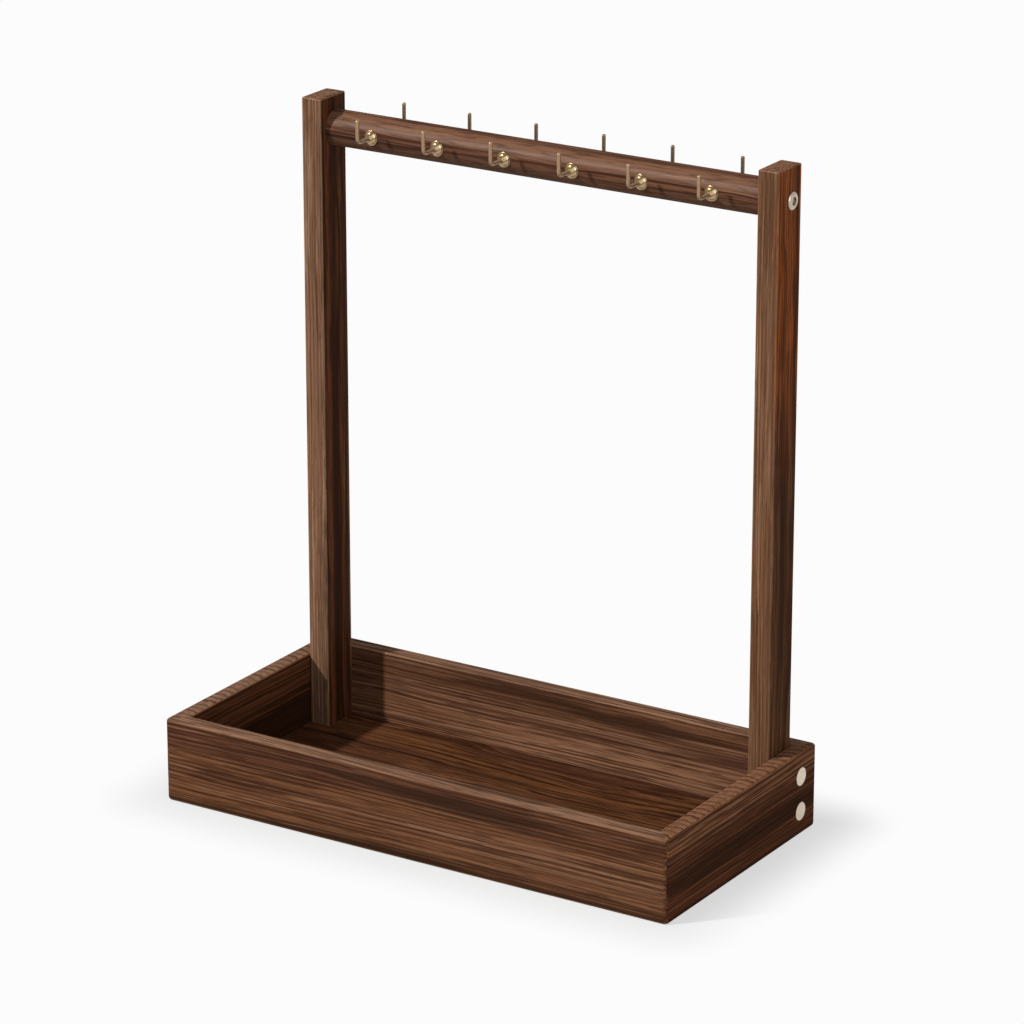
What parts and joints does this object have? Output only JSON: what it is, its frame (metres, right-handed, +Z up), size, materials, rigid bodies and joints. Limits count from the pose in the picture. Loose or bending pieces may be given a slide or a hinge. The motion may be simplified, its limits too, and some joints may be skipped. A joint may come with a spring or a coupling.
{
  "type": "necklace stand",
  "caption": "Free-standing wooden necklace stand: an open tray with posts in its rear corners and a round rail between their tops that carries opposite pairs of L-shaped hooks.",
  "frame": {"origin": "on the surface that the stand rests on, under the middle of the whole stand's bounding box", "axes": "+X along the tray to the right, -Y towards the user, +Z up"},
  "size_m": [0.3, 0.153, 0.35],
  "materials": {
    "walnut_wall": "oiled dark walnut, grain along each board",
    "walnut_floor": "oiled dark walnut, grain along the tray",
    "walnut_post": "oiled dark walnut, upright grain",
    "walnut_rail": "oiled dark walnut, turned, grain along the rail",
    "brass_hook": "satin pale brass plate",
    "nickel_bolt": "bright nickel plate",
    "brass_insert": "plain turned brass",
    "zinc_screw": "zinc plate",
    "pale_plug": "pale, bare, sanded wood"
  },
  "bodies": {
    "root": {"front_wall": "walnut_wall", "rear_wall": "walnut_wall", "left_end_wall": "walnut_wall", "right_end_wall": "walnut_wall", "tray_floor": "walnut_floor", "left_post": "walnut_post", "right_post": "walnut_post", "hook_rail": "walnut_rail", "front_hook_1": "brass_hook", "front_hook_2": "brass_hook", "front_hook_3": "brass_hook", "front_hook_4": "brass_hook", "front_hook_5": "brass_hook", "front_hook_6": "brass_hook", "rear_hook_1": "brass_hook", "rear_hook_2": "brass_hook", "rear_hook_3": "brass_hook", "rear_hook_4": "brass_hook", "rear_hook_5": "brass_hook", "rear_hook_6": "brass_hook", "left_rail_bolt": "nickel_bolt", "left_rail_insert": "brass_insert", "left_lower_screw": "zinc_screw", "left_lower_plug": "pale_plug", "left_upper_screw": "zinc_screw", "left_upper_plug": "pale_plug", "right_rail_bolt": "nickel_bolt", "right_rail_insert": "brass_insert", "right_lower_screw": "zinc_screw", "right_lower_plug": "pale_plug", "right_upper_screw": "zinc_screw", "right_upper_plug": "pale_plug"}
  },
  "joints": []
}
